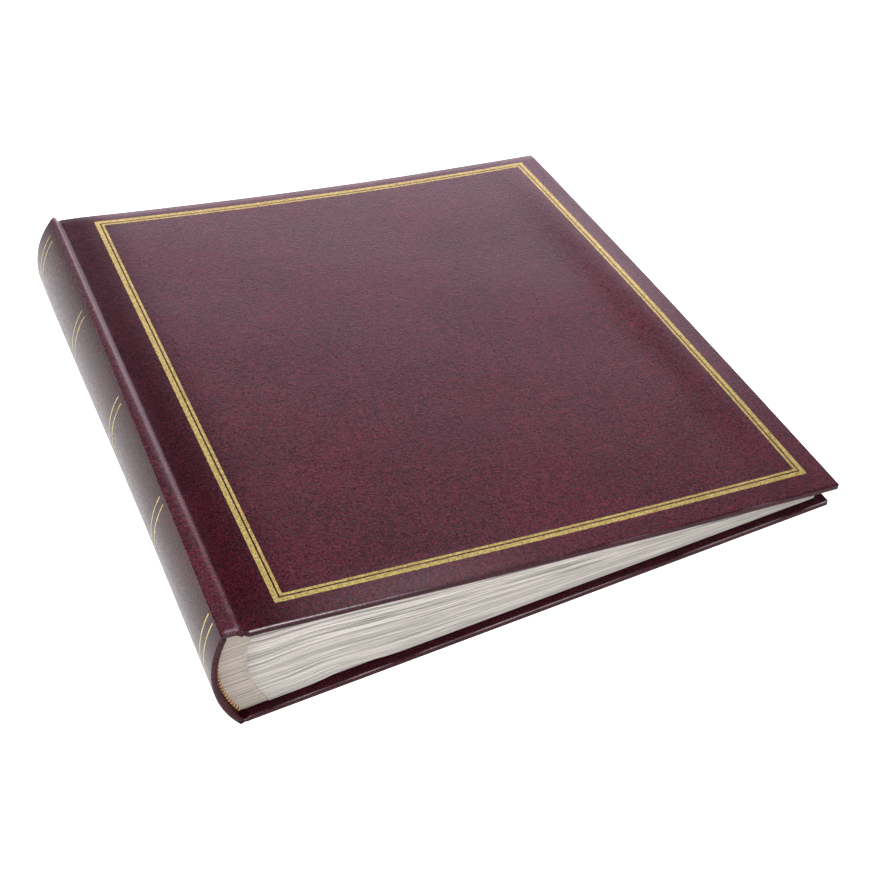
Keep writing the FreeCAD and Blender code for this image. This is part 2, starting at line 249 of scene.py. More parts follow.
def crease(rise):
    """Where the guards end and the leaves start at one height, along X."""
    return guard_back(rise) + guard_width - CREASE_SET_BACK


# ---- shapes


def smooth(t):
    t = np.clip(t, 0.0, 1.0)
    return t * t * (3 - 2 * t)


def mound(x, centre, width):
    return np.exp(-(((x - centre) / width) ** 2))


def ripple(seed, wavelength, *places):
    """A smooth random field of about unit size."""
    rng = np.random.default_rng(seed)
    total = 0.0
    for _ in range(6):
        direction = rng.normal(size=len(places))
        direction /= np.linalg.norm(direction)
        turn = 2 * math.pi / (wavelength * rng.uniform(0.7, 1.6))
        along = sum(d * np.asarray(p) for d, p in zip(direction, places))
        total = total + np.sin(turn * along + rng.uniform(0, 2 * math.pi))
    return total / math.sqrt(3)


def stack(*parts):
    """Points from coordinates, each an array or one number."""
    return np.stack(np.broadcast_arrays(*parts), -1)


def lines(*spans):
    """Grid lines from (start, end, step) spans, each line once."""
    values = [np.linspace(a, b, max(1, round(abs(b - a) / step)) + 1) for a, b, step in spans]
    return np.unique(np.round(np.concatenate(values), 7))


def grid(u, v):
    return np.meshgrid(u, v, indexing="ij")


def make(name, patches, material, smooth_faces=True, weld=True, uv=None, **fields):
    """One mesh from patches: points of shape n×m×3, or a pair of such points and the cells to keep.

    A field is a number for each point, which the material reads by its name.
    """
    points, faces, count = [], [], 0
    for patch in patches:
        place, keep = patch if isinstance(patch, tuple) else (patch, None)
        rows, columns = place.shape[:2]
        points.append(place.reshape(-1, 3))
        for i in range(rows - 1):
            for j in range(columns - 1):
                if keep is None or keep[i, j]:
                    a = count + i * columns + j
                    faces.append((a, a + 1, a + columns + 1, a + columns))
        count += rows * columns
    points = np.concatenate(points)
    mesh = bpy.data.meshes.new(name)
    mesh.from_pydata(points.tolist(), [], faces)
    for label, values in fields.items():
        store = mesh.attributes.new(label, "FLOAT", "POINT")
        store.data.foreach_set("value", np.broadcast_to(values, len(points)).astype(np.float32))
    if uv is not None:
        layer = mesh.uv_layers.new(name="page")
        corners = np.array([loop.vertex_index for loop in mesh.loops])
        layer.data.foreach_set("uv", uv.reshape(-1, 2)[corners].astype(np.float32).ravel())
    work = bmesh.new()
    work.from_mesh(mesh)
    if weld:
        bmesh.ops.remove_doubles(work, verts=work.verts, dist=0.002 * MM)
    loose = [v for v in work.verts if not v.link_faces]
    bmesh.ops.delete(work, geom=loose, context="VERTS")
    bmesh.ops.recalc_face_normals(work, faces=work.faces)
    work.to_mesh(mesh)
    work.free()
    rest = mesh.attributes.new("rest_place", "FLOAT_VECTOR", "POINT")
    co = np.zeros(len(mesh.vertices) * 3, np.float32)
    mesh.vertices.foreach_get("co", co)
    rest.data.foreach_set("vector", co)
    mesh.polygons.foreach_set("use_smooth", [smooth_faces] * len(mesh.polygons))
    mesh.materials.append(material)
    piece = bpy.data.objects.new(name, mesh)
    bpy.context.scene.collection.objects.link(piece)
    return piece


def wrap(u_lines, v_lines, thick, fore_wall=True):
    """Cloth wrapped round a board: patches in board coordinates (u, v, depth), with soft arrises."""
    radius = LEATHER_ROUND
    q_lines = lines(
        (0, radius, radius / 3), (radius, thick - radius, radius), (thick - radius, thick, radius / 3)
    )
    u_end = u_lines[-1]
    v_low, v_high = v_lines[0], v_lines[-1]

    def soften(u, v, depth):
        points = stack(u, v, depth)
        core = points.copy()
        if fore_wall:
            core[..., 0] = np.minimum(core[..., 0], u_end - radius)
        core[..., 1] = np.clip(core[..., 1], v_low + radius, v_high - radius)
        core[..., 2] = np.clip(core[..., 2], radius, thick - radius)
        away = points - core
        size = np.linalg.norm(away, axis=-1, keepdims=True)
        return np.where(size > 1e-9, core + away * radius / np.maximum(size, 1e-9), points)

    u, v = grid(u_lines, v_lines)
    middle_u = (u[1:, 1:] + u[:-1, :-1]) / 2
    middle_v = (v[1:, 1:] + v[:-1, :-1]) / 2
    turned_in = (middle_v < v_low + TURN_IN) | (middle_v > v_high - TURN_IN)
    if fore_wall:
        turned_in |= middle_u > u_end - TURN_IN
    patches = [(soften(u, v, 0.0), None), (soften(u, v, thick), turned_in)]
    u, q = grid(u_lines, q_lines)
    patches += [(soften(u, end, q), None) for end in (v_low, v_high)]
    if fore_wall:
        v, q = grid(v_lines, q_lines)
        patches.append((soften(u_end, v, q), None))
    return patches


# ---- materials


class Nodes:
    """A node tree under construction."""

    def __init__(self, tree):
        self.tree = tree
        tree.nodes.clear()

    def add(self, kind, inputs=None, **settings):
        node = self.tree.nodes.new(kind)
        for key, value in settings.items():
            setattr(node, key, value)
        for key, value in (inputs or {}).items():
            self.feed(node.inputs[key], value)
        return node

    def feed(self, socket, value):
        if isinstance(value, bpy.types.NodeSocket):
            self.tree.links.new(value, socket)
        else:
            socket.default_value = value

    def maths(self, operation, a, b=0.0, clamp=False):
        return self.add("ShaderNodeMath", {0: a, 1: b}, operation=operation, use_clamp=clamp).outputs[0]

    def plus(self, a, b, clamp=False):
        return self.maths("ADD", a, b, clamp)

    def times(self, a, b, clamp=False):
        return self.maths("MULTIPLY", a, b, clamp)

    def vectors(self, operation, a, b):
        return self.add("ShaderNodeVectorMath", {0: a, 1: b}, operation=operation).outputs[0]

    def scaled(self, vector, factor):
        return self.add("ShaderNodeVectorMath", {0: vector, "Scale": factor}, operation="SCALE").outputs[0]

    def spread(self, value, low, high, out_low=0.0, out_high=1.0, **settings):
        inputs = {0: value, 1: low, 2: high, 3: out_low, 4: out_high}
        return self.add("ShaderNodeMapRange", inputs, **settings).outputs[0]


class Finish(Nodes):
    """A material under construction."""

    def __init__(self, name):
        self.material = bpy.data.materials.new(name)
        self.material.use_nodes = True
        super().__init__(self.material.node_tree)

    def noise(self, place, scale, detail=2.0, rough=0.5):
        inputs = {"Vector": place, "Scale": scale, "Detail": detail, "Roughness": rough}
        return self.add("ShaderNodeTexNoise", inputs).outputs[0]

    def cells(self, place, scale, feature):
        inputs = {"Vector": place, "Scale": scale}
        return self.add("ShaderNodeTexVoronoi", inputs, feature=feature).outputs["Distance"]

    def mix(self, share, a, b):
        node = self.add("ShaderNodeMix", data_type="RGBA")
        self.feed(node.inputs[0], share)
        self.feed(node.inputs[6], a)
        self.feed(node.inputs[7], b)
        return node.outputs[2]

    def shift(self, place, scale, amount):
        """The place moved about by noise, so that a pattern isn't regular."""
        inputs = {"Vector": place, "Scale": scale, "Detail": 2.0}
        colour = self.add("ShaderNodeTexNoise", inputs).outputs["Color"]
        centred = self.vectors("SUBTRACT", colour, (0.5, 0.5, 0.5))
        return self.vectors("ADD", place, self.scaled(centred, amount))

    def attribute(self, name):
        return self.add("ShaderNodeAttribute", attribute_name=name, attribute_type="GEOMETRY").outputs

    def rest_place(self):
        return self.attribute("rest_place")["Vector"]

    def own_place(self):
        return self.add("ShaderNodeTexCoord").outputs["Object"]

    def bump(self, height, distance, strength=1.0, under=None):
        inputs = {"Height": height, "Distance": distance, "Strength": strength}
        if under is not None:
            inputs["Normal"] = under
        return self.add("ShaderNodeBump", inputs).outputs[0]

    def surface(self, **inputs):
        names = {key.replace("_", " "): value for key, value in inputs.items()}
        return self.add("ShaderNodeBsdfPrincipled", names).outputs[0]

    def done(self, shader):
        self.add("ShaderNodeOutputMaterial", {"Surface": shader})
        return self.material

    def done_as(self, **inputs):
        return self.done(self.surface(**inputs))


def rgb(red, green, blue):
    return (red, green, blue, 1.0)


WINE_DARK = rgb(0.030, 0.005, 0.010)
WINE = rgb(0.205, 0.016, 0.042)
# The pale lilac of the painted highlights on the leatherette.
HIGHLIGHT_LILAC = rgb(0.60, 0.51, 0.56)
GOLD_DARK = rgb(0.40, 0.315, 0.06)
GOLD_LIGHT = rgb(0.84, 0.71, 0.25)
INK = rgb(0.36, 0.37, 0.39)


def grain(finish, place):
    """The pebbled grain of bookbinder's leatherette, as a height from 0 to 1."""
    loose = finish.shift(place, 600.0, 1.0 * MM)
    pebbles = finish.spread(finish.cells(loose, 1250.0, "SMOOTH_F1"), 0.0, 0.75, 1.0, 0.0)
    creases = finish.spread(finish.cells(loose, 800.0, "DISTANCE_TO_EDGE"), 0.0, 0.12)
    fine = finish.noise(place, 3600.0, 2.0)
    body = finish.times(pebbles, finish.spread(creases, 0.0, 1.0, 0.55, 1.0))
    return finish.plus(finish.times(body, 0.8), finish.times(fine, 0.25))


def leatherette(name):
    finish = Finish(name)
    place = finish.rest_place()
    height = grain(finish, place)
    blotches = finish.noise(finish.shift(place, 120.0, 6 * MM), 230.0, 3.0, 0.6)
    speckle = finish.noise(place, 1600.0, 1.0, 0.5)
    clouds = finish.noise(place, 26.0, 2.0)
    share = finish.spread(blotches, 0.3, 0.7, 0.24, 0.40)
    share = finish.plus(share, finish.spread(clouds, 0.3, 0.7, -0.1, 0.1))
    # The grain's height also sets the colour: painted shade in the crevices and painted light on the pebble
    # tops.
    share = finish.plus(share, finish.spread(height, 0.3, 0.9, -0.46, 0.42))
    share = finish.plus(share, finish.spread(speckle, 0.35, 0.65, -0.40, 0.52), clamp=True)
    # Painted shade: where this field is high, the colour is darkened and the sheen dulled.
    deep = finish.attribute("deep")["Fac"]
    colour = finish.mix(share, WINE_DARK, WINE)
    colour = finish.scaled(colour, finish.spread(deep, 0.0, 1.0, 1.0, 0.52))
    # Painted highlight: a pale lilac laid in patches over the arrises, the joint's crest and the tail
    # margin.
    highlight = finish.attribute("worn")["Fac"]
    patches = finish.spread(finish.noise(place, 1300.0, 3.0, 0.65), 0.42, 0.62)
    highlight_share = finish.times(highlight, finish.spread(patches, 0.0, 1.0, 0.55, 1.2), clamp=True)
    colour = finish.mix(highlight_share, colour, HIGHLIGHT_LILAC)
    return finish.done_as(
        Base_Color=colour,
        Roughness=finish.spread(finish.noise(place, 700.0, 2.0), 0.3, 0.7, 0.22, 0.34),
        Specular_IOR_Level=finish.spread(deep, 0.0, 1.0, 0.5, 0.06),
        Normal=finish.bump(height, 0.095 * MM, 0.8),
    )


def gold_foil(name, bare_below):
    """Worn gold foil: metal with leatherette showing through where it is rubbed."""
    finish = Finish(name)
    place = finish.rest_place()
    height = grain(finish, place)
    speck = finish.noise(place, 1500.0, 3.0, 0.7)
    tint = finish.spread(finish.noise(place, 900.0, 2.0), 0.3, 0.7)
    foil = finish.surface(
        Base_Color=finish.mix(tint, GOLD_DARK, GOLD_LIGHT),
        Metallic=0.6,
        Roughness=finish.spread(speck, 0.3, 0.7, 0.25, 0.45),
        Normal=finish.bump(height, 0.10 * MM, 0.8),
    )
    bare = finish.surface(Base_Color=WINE, Roughness=0.5)
    shows = finish.spread(speck, bare_below, bare_below + 0.06, 1.0, 0.0)
    return finish.done(finish.add("ShaderNodeMixShader", {0: shows, 1: foil, 2: bare}).outputs[0])


def paper(name, colour, printed=False, see_through=0.0, mottled=0.06):
    finish = Finish(name)
    place = finish.rest_place()
    fibres = finish.noise(place, 1800.0, 4.0, 0.65)
    clouds = finish.noise(place, 60.0, 2.0)
    tone = finish.attribute("tone")["Fac"]
    shade = finish.times(tone, finish.spread(fibres, 0.2, 0.8, 1 - mottled, 1 + mottled))
    shade = finish.times(shade, finish.spread(clouds, 0.3, 0.7, 0.97, 1.02))
    base = finish.scaled(colour[:3], shade)
    if printed:
        base = finish.mix(page_print(finish), base, INK)
    sheet = finish.surface(
        Base_Color=base,
        Roughness=0.7,
        Specular_IOR_Level=0.25,
        Normal=finish.bump(fibres, 0.03 * MM, 0.4),
    )
    if see_through:
        clear = finish.add("ShaderNodeBsdfTranslucent", {"Color": rgb(0.85, 0.84, 0.8)}).outputs[0]
        sheet = finish.add("ShaderNodeMixShader", {0: see_through, 1: sheet, 2: clear}).outputs[0]
    return finish.done(sheet)


def page_print(finish):
    """A thin double border and a pale grid inside it, as a share of ink."""
    hinge_margin, squares_of, grid_ink = 8 * MM, 5 * MM, 0.28
    place = finish.add("ShaderNodeUVMap", uv_map="page").outputs[0]
    parts = finish.add("ShaderNodeSeparateXYZ", {0: place})
    across, up = parts.outputs[0], parts.outputs[1]

    def inside(margin):
        """Positive inside a rectangle this far from the page's edges, in metres."""
        sides = [
            finish.maths("SUBTRACT", across, margin + hinge_margin),
            finish.maths("SUBTRACT", PAGE_WIDTH - margin, across),
            finish.maths("SUBTRACT", up, margin),
            finish.maths("SUBTRACT", PAGE_HEIGHT - margin, up),
        ]
        least = sides[0]
        for side in sides[1:]:
            least = finish.maths("MINIMUM", least, side)
        return least

    def stroke(margin, width):
        distance = finish.maths("ABSOLUTE", inside(margin))
        return finish.maths("LESS_THAN", distance, width / 2)

    def rule(value):
        turn = finish.maths("FRACT", finish.maths("DIVIDE", value, squares_of))
        return finish.maths("LESS_THAN", turn, 0.05)

    squares = finish.maths("MAXIMUM", rule(across), rule(up))
    squares = finish.times(squares, finish.maths("GREATER_THAN", inside(16 * MM), 0.0))
    border = finish.maths("MAXIMUM", stroke(13 * MM, 0.7 * MM), stroke(15 * MM, 0.3 * MM))
    return finish.maths("MAXIMUM", border, finish.times(squares, grid_ink))


def grey_board():
    finish = Finish("grey_board")
    place = finish.own_place()
    fibres = finish.noise(place, 900.0, 5.0, 0.7)
    colour = finish.mix(finish.spread(fibres, 0.3, 0.7), rgb(0.20, 0.18, 0.16), rgb(0.36, 0.34, 0.30))
    return finish.done_as(Base_Color=colour, Roughness=0.9, Normal=finish.bump(fibres, 0.1 * MM, 0.6))


def woven(name, light, dark, threads):
    """Plain-woven cloth: threads per metre each way."""
    finish = Finish(name)
    place = finish.own_place()
    parts = finish.add("ShaderNodeSeparateXYZ", {0: place})
    along = finish.maths("SINE", finish.times(parts.outputs[1], threads * 2 * math.pi))
    across = finish.maths("SINE", finish.times(parts.outputs[2], threads * 2 * math.pi))
    weave = finish.spread(finish.times(along, across), -1.0, 1.0)
    colour = finish.mix(weave, dark, light)
    return finish.done_as(Base_Color=colour, Roughness=0.9, Normal=finish.bump(weave, 0.15 * MM, 0.8))


def thread(name, colour):
    finish = Finish(name)
    place = finish.rest_place()
    strands = finish.noise(place, 5000.0, 2.0)
    shade = finish.mix(finish.spread(strands, 0.3, 0.7), [0.55 * c for c in colour[:3]] + [1.0], colour)
    return finish.done_as(Base_Color=shade, Roughness=0.55, Normal=finish.bump(strands, 0.05 * MM, 0.6))


PAGE_WIDTH = fore_edge - crease(spine_centre[2])
PAGE_HEIGHT = block_head - block_tail

leather = leatherette("leatherette")
gold = gold_foil("gold_foil", 0.36)
gold_fine = gold_foil("gold_foil_spine", 0.28)
page = paper("album_page", rgb(0.84, 0.785, 0.735), printed=True)
guard_paper = paper("guard_paper", rgb(0.46, 0.405, 0.355), mottled=0.08)
endpaper = paper("endpaper", rgb(0.74, 0.71, 0.67))
glassine = paper("glassine", rgb(0.78, 0.76, 0.72), see_through=0.35)
board = grey_board()
gauze = woven("gauze", rgb(0.72, 0.69, 0.62), rgb(0.35, 0.32, 0.28), 900.0)
tape = woven("sewing_tape", rgb(0.76, 0.73, 0.66), rgb(0.5, 0.47, 0.4), 1600.0)
gold_thread = thread("headband_gold", rgb(0.72, 0.50, 0.16))
wine_thread = thread("headband_wine", rgb(0.22, 0.03, 0.06))


# ---- the album's settled shape


def shoulder_lean(v):
    """How far the shoulder leans over the block, and how far it is lifted."""
    share = along_book(v)
    lean = LEAN_TAIL + (LEAN_HEAD - LEAN_TAIL) * share
    lift = LIFT_TAIL + (LIFT_HEAD - LIFT_TAIL) * share
    return lean, lift


def lean_at(v, rise):
    """The lean and lift of the spine and the block at one height."""
    lean, lift = shoulder_lean(v)
    share = np.clip((rise - spine_centre[2]) / (shoulder[2] - spine_centre[2]), 0, 1) ** 3
    return lean * share, lift * share


def belly(v, rise):
    """How far the shell bulges away from the block, low down and towards the head."""
    low_down = mound(rise, 17 * MM, 17 * MM) * smooth(rise / (9 * MM))
    return BELLY_HEAD * smooth((along_book(v) - 0.25) / 0.75) * low_down


def warp(u, v):
    """How far the front cover stands over its flat plane."""
    across = np.clip(u / front.width, 0, 1)
    up = along_book(v)
    sag = (SAG_TAIL + (SAG_HEAD - SAG_TAIL) * up) * np.sin(math.pi * across)
    rolled = 0.3 * MM * mound(v, front.head, 3 * MM)
    arch = np.sin(math.pi * np.clip(up, 0, 1))
    swell = FORE_SWELL * mound(u, front.width - 17 * MM, 11 * MM)
    return (FORE_CROWN * across**2 + swell) * arch - sag - rolled


def joint_rise(u, v):
    """Height of the leatherette over the front board's flat plane, from the crest of the joint on."""
    from_tail = (v - front.tail) / MM
    from_head = (front.head - v) / MM
    crest = CREST_TAIL + (CREST_HEAD - CREST_TAIL) * along_book(v)
    groove = GROOVE_DEEP + GROOVE_DEEPER_AT_HEAD * mound(from_head, 0.0, 13.0)
    rise = crest * (1 - smooth((u - CREST_U) / RIDGE_FALL))
    rise = rise - HOLLOW * mound(u, GROOVE_U + 3.2 * MM, 5.0 * MM)
    rise = rise - groove * mound(u, GROOVE_U, 0.95 * MM)
    in_joint = smooth((GROOVE_U + 3.6 * MM - u) / (3 * MM))
    pucker = 0.5 * mound(from_tail, 0.8, 1.6) * mound(u, CREST_U, 1.2 * MM)
    pucker = pucker - 0.9 * mound(from_tail, -0.2, 1.4) * mound(u, GROOVE_U + 0.2 * MM, 0.8 * MM)
    slack = 0.04 * ripple(3, 9.0, u / MM, v / MM) + 0.07 * ripple(4, 45.0, u / MM, v / MM)
    return rise + in_joint * (pucker + slack) * MM


def ridge_flank(share, v):
    """The joint between the shoulder's crease, at share 0, and the seam on the ridge, at share 1."""
    lean, lift = shoulder_lean(v)
    start_u, start_rise = front.local(shoulder)
    start_u = start_u + lean * front.along[0] + lift * front.along[2]
    start_rise = start_rise + lean * front.outwards[0] + lift * front.outwards[2]
    u = start_u + (SEAM_U - start_u) * share
    swell = 1 - (1 - share) ** 2
    rise = start_rise + (joint_rise(np.array(SEAM_U), v) - start_rise) * swell
    from_tail = (v - front.tail) / MM
    rise = rise + 0.5 * MM * mound(from_tail, 0.5, 1.6) * mound(share, 0.45, 0.25)
    return u, rise


def sway(u, v):
    """The slight unevenness of a pasted cover."""
    u, v = u / MM, v / MM
    return (0.05 * ripple(11, 90.0, u, v) + 0.015 * ripple(12, 22.0, u, v)) * MM


def front_place(points):
    """Front board points (u, v, depth) in the frame, on the warped cover."""
    u, v, depth = np.moveaxis(points, -1, 0)
    lift = warp(u, v) + joint_rise(u, v) + sway(u, v) * smooth(u / (10 * MM))
    return front.place(u, v, depth - lift)


def thinned(points, on_board, thick):
    """Board points with the leatherette at its own thickness where it isn't on the board."""
    u, v, depth = np.moveaxis(points, -1, 0)
    share = JOINT_CLOTH / thick
    return stack(u, v, depth * (share + (1 - share) * on_board))


def front_leather_place(points):
    on_board = smooth((points[..., 0] - GROOVE_U - 0.6 * MM) / (2.5 * MM))
    return front_place(thinned(points, on_board, front.thick))


def back_place(points):
    return back.place(*np.moveaxis(points, -1, 0))


def back_leather_place(points):
    u = points[..., 0]
    on_board = smooth((u + MM) / (2 * MM))
    groove = stack(0.0, 0.0, 0.5 * MM * mound(u, -1.4 * MM, 0.8 * MM))
    return back_place(thinned(points, on_board, back.thick) + groove)


spine_arc = 2 * spine_half * spine_radius
ridge_run = SEAM_U - front.local(shoulder)[0]


def spine_place(points):
    """Spine points (arc from the heel, v, depth) in the frame, and on over the shoulder to the seam."""
    arc, v, depth = np.moveaxis(points, -1, 0)
    on_arc = np.minimum(arc, spine_arc)
    angle = math.pi + spine_half - on_arc / spine_radius
    x = spine_centre[0] + spine_radius * np.cos(angle)
    z = spine_centre[2] + spine_radius * np.sin(angle)
    lean, lift = lean_at(v, z)
    outer = stack(x + lean - belly(v, z), v, z + lift)
    radial = stack(np.cos(angle), 0.0, np.sin(angle))
    share = np.clip((arc - spine_arc) / ridge_run, 0, 1)
    u, rise = ridge_flank(share, v)
    ridge = front.place(u, v, -rise - warp(u, v))
    past = (arc > spine_arc)[..., None]
    turned = smooth((arc - spine_arc + 0.6 * MM) / (1.2 * MM))[..., None]
    normal = radial * (1 - turned) + front.outwards * turned
    normal = normal / np.linalg.norm(normal, axis=-1, keepdims=True)
    thin = smooth((arc - spine_arc + 1.5 * MM) / (2.5 * MM))
    kept = 1 - (1 - JOINT_CLOTH / SHELL_THICK) * thin
    return np.where(past, ridge, outer) - normal * (depth * kept)[..., None]


# ---- leatherette


def painted_highlight_of(points, cover, strength):
    """Painted highlight on the leatherette: along the arrises, in patches, most near the joint's tail end,
    with a faint painted sheen on the tail margin.
    """
    u, v, depth = np.moveaxis(points, -1, 0)
    edge = cover.inside(u, v)
    arris = mound(edge, 0.1 * MM, 0.25 * MM) * mound(depth, 0.15 * MM, 0.3 * MM)
    patchy = np.clip(0.08 + 0.25 * ripple(21, 30.0, u / MM, v / MM), 0.0, 1.0)
    near_tail_joint = 2.0 * mound(u, 0.0, 45 * MM) * mound(v, cover.tail, 60 * MM) * smooth((u + MM) / MM)
    margin = 0.09 * mound(v, cover.tail + 5 * MM, 9 * MM) * mound(u, 75 * MM, 45 * MM)
    arris = arris * (0.15 + 0.85 * smooth((u + 0.5 * MM) / MM))
    return np.clip(strength * arris * (patchy + near_tail_joint) + margin * (depth < 0.5 * MM), 0, 1)


def crest_painted_highlight(u, v):
    """A painted highlight along the crest of the front joint, double at the head and gone at the tail."""
    share = along_book(v)
    width = (1.2 - 0.7 * smooth((share - 0.6) / 0.4)) * MM
    second = 0.7 * mound(u, CREST_U + 1.5 * MM, 0.4 * MM) * smooth((share - 0.8) / 0.2)
    return CREST_HIGHLIGHT * (mound(u, CREST_U, width) + second) * smooth((share - 0.02) / 0.35)


def cloth_wrap(name, patches, place, highlight, deep):
    """Leatherette from patches of board points, with how much painted highlight and how much painted shade
    each point carries.
    """
    worn = np.concatenate([np.broadcast_to(highlight(p), p.shape[:-1]).ravel() for p, _ in patches])
    dark = np.concatenate([np.broadcast_to(deep(p), p.shape[:-1]).ravel() for p, _ in patches])
    piece = make(name, [(place(p), keep) for p, keep in patches], leather, worn=worn, deep=dark)
    return piece


# Painted highlight on the front cover: its arrises and the crest of the joint.
def front_painted_highlight(points):
    return painted_highlight_of(points, front, 0.6) + crest_painted_highlight(points[..., 0], points[..., 1])


def front_deep(points):
    """Painted shade: darker and duller beside the joint and on the board's edges."""
    u, v, depth = np.moveaxis(points, -1, 0)
    beside = 0.95 * smooth((u - CREST_U - 1.5 * MM) / (2.0 * MM)) * (1 - smooth((u - 5 * MM) / (30 * MM)))
    edge = np.minimum(v - front.tail, front.width - u)
    walls = np.maximum(smooth((depth - 0.1 * MM) / (0.4 * MM)), 1 - smooth((edge - 0.2 * MM) / (0.5 * MM)))
    return np.maximum(beside, 0.92 * walls)


# Painted highlight on the back cover, with a line along its inner arris.
def back_painted_highlight(points):
    u, v, depth = np.moveaxis(points, -1, 0)
    edge = back.inside(u, v)
    inner = mound(edge, 0.1 * MM, 0.2 * MM) * mound(depth, back.thick - 0.2 * MM, 0.25 * MM)
    patchy = np.clip(0.5 + 0.5 * ripple(22, 30.0, u / MM, v / MM), 0.0, 1.0)
    return np.maximum(painted_highlight_of(points, back, 0.5), 0.8 * inner * patchy)


def back_deep(points):
    """Painted shade: darker on the inside and the edges."""
    return 0.95 * smooth((points[..., 2] - 0.1 * MM) / (0.4 * MM))


def across_cover(cover, step, *near_joint):
    """Grid lines over a cover, closer near the joint, over the turn-in and on the soft arris."""
    turn_in, arris = cover.width - TURN_IN, cover.width - LEATHER_ROUND
    middle = (near_joint[-1][1], turn_in, step)
    return lines(*near_joint, middle, (turn_in, arris, 3 * MM), (arris, cover.width, LEATHER_ROUND / 3))


front_u = across_cover(
    front,
    6 * MM,
    (SEAM_U, SEAM_U + MM, 0.2 * MM),
    (SEAM_U + MM, 4 * MM, 0.45 * MM),
    (4 * MM, 20 * MM, 2 * MM),
)
# From tail to head the lines are closer at the soft arrises, at the turn-ins and near both ends.
NEAR_END = 8 * MM
end_spans = (
    (0.0, LEATHER_ROUND, LEATHER_ROUND / 3),
    (LEATHER_ROUND, NEAR_END, 0.6 * MM),
    (NEAR_END, TURN_IN, 2 * MM),
)
book_v = lines(
    *((front.tail + start, front.tail + end, step) for start, end, step in end_spans),
    (front.tail + TURN_IN, front.head - TURN_IN, 6 * MM),
    *((front.head - end, front.head - start, step) for start, end, step in end_spans),
)
front_leather = cloth_wrap(
    "front_leather", wrap(front_u, book_v, front.thick), front_leather_place, front_painted_highlight, front_deep
)
tuple(front.place(-3.4 * MM, 0.0, 0.0))
tuple(front.place(1.5 * MM, 0.0, 0.0))
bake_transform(front_leather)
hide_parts("front_covering", "front_joint_cloth")

back_u = across_cover(back, 8 * MM, (back.local(heel)[0], 2 * MM, 0.4 * MM))
back_leather = cloth_wrap(
    "back_leather", wrap(back_u, book_v, back.thick), back_leather_place, back_painted_highlight, back_deep
)
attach(back_leather, "back_cover")
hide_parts("back_covering", "back_joint_cloth")

spine_lines = lines(
    (0, spine_arc - 3 * MM, 1.2 * MM),
    (spine_arc - 3 * MM, spine_arc + ridge_run - MM, 0.35 * MM),
    (spine_arc + ridge_run - MM, spine_arc + ridge_run, 0.2 * MM),
)


# Painted highlight on the crest, where the spine's leatherette runs over it.
def spine_painted_highlight(points):
    arc, v = points[..., 0], points[..., 1]
    u, _ = ridge_flank(np.clip((arc - spine_arc) / ridge_run, 0, 1), v)
    return crest_painted_highlight(u, v) * (arc > spine_arc)


def spine_deep(points):
    """Painted shade: darker on the spine, and most on the ends of the shell."""
    on_spine = 0.75 * smooth((spine_arc - points[..., 0]) / (0.8 * MM))
    return np.maximum(on_spine, 0.95 * smooth((points[..., 2] - 0.3 * MM) / MM))


spine_leather = cloth_wrap(
    "spine_leather",
    wrap(spine_lines, book_v, SHELL_THICK, fore_wall=False),
    spine_place,
    spine_painted_highlight,
    spine_deep,
)
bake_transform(spine_leather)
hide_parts("spine_covering")


# ---- gold


def foil_frame(name, node, seed, waver):
    """One rectangular foil line, mitred at its corners, that follows the leatherette."""
    points = vertices(node)
    u = step_values((points - front.origin) @ front.along)
    v = step_values(points[:, 1])
    width = min(step for step in np.diff(v) if step > 0.3 * MM)
    rings = []
    for inset in (0.0, width):
        low_u, high_u = u[0] + inset, u[-1] - inset
        low_v, high_v = v[0] + inset, v[-1] - inset
        ring = [(low_u, low_v), (high_u, low_v), (high_u, high_v), (low_u, high_v), (low_u, low_v)]
        rings.append(np.array(ring))
    patches = []
    for side in range(4):
        outer, inner = (ring[side : side + 2] for ring in rings)
        length = np.linalg.norm(outer[1] - outer[0])
        t = np.linspace(0, 1, round(length / MM))[:, None]
        edges = [outer[0] + (outer[1] - outer[0]) * t, inner[0] + (inner[1] - inner[0]) * t]
        across = edges[0] - edges[1]
        across = across / np.linalg.norm(across, axis=1, keepdims=True)
        ends = np.minimum(1, np.minimum(t, 1 - t) * length / (3 * MM))
        for number in (0, 1):
            uneven = ripple(seed + side + 9 * number, 4.0, t * length / MM)
            edges[number] = edges[number] + across * ends * waver * uneven
        flat = np.stack([edges[0], (edges[0] + edges[1]) / 2, edges[1]], 1)
        patches.append(front_place(stack(flat[..., 0], flat[..., 1], -FOIL_LIFT)))
    piece = make(name, patches, gold)
    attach(piece, "front_cover")
    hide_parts(node)


foil_frame("gold_line_outer", "front_gold_line_outer", 31, 0.05 * MM)
foil_frame("gold_line_inner", "front_gold_line_inner", 51, 0.04 * MM)


def spine_bands():
    """Pairs of foil lines across the spine."""
    patches = []
    for number, (low, high) in enumerate(step_values(vertices("spine_gold_bands")[:, 1]).reshape(-1, 2)):
        short = 1.6 * MM + 0.55 * (shoulder_lean(low)[0] - LEAN_TAIL)
        arc = np.linspace(1.6 * MM, spine_arc - short, 60)
        waver = 0.05 * MM * ripple(70 + number, 6.0, arc / MM)
        edges = [stack(arc, edge + waver, -FOIL_LIFT) for edge in (low, high)]
        patches.append(spine_place(np.stack(edges, 1)))
    piece = make("spine_bands", patches, gold_fine)
    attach(piece, "spine")
    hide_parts("spine_gold_bands")


spine_bands()


# ---- boards, linings and tapes


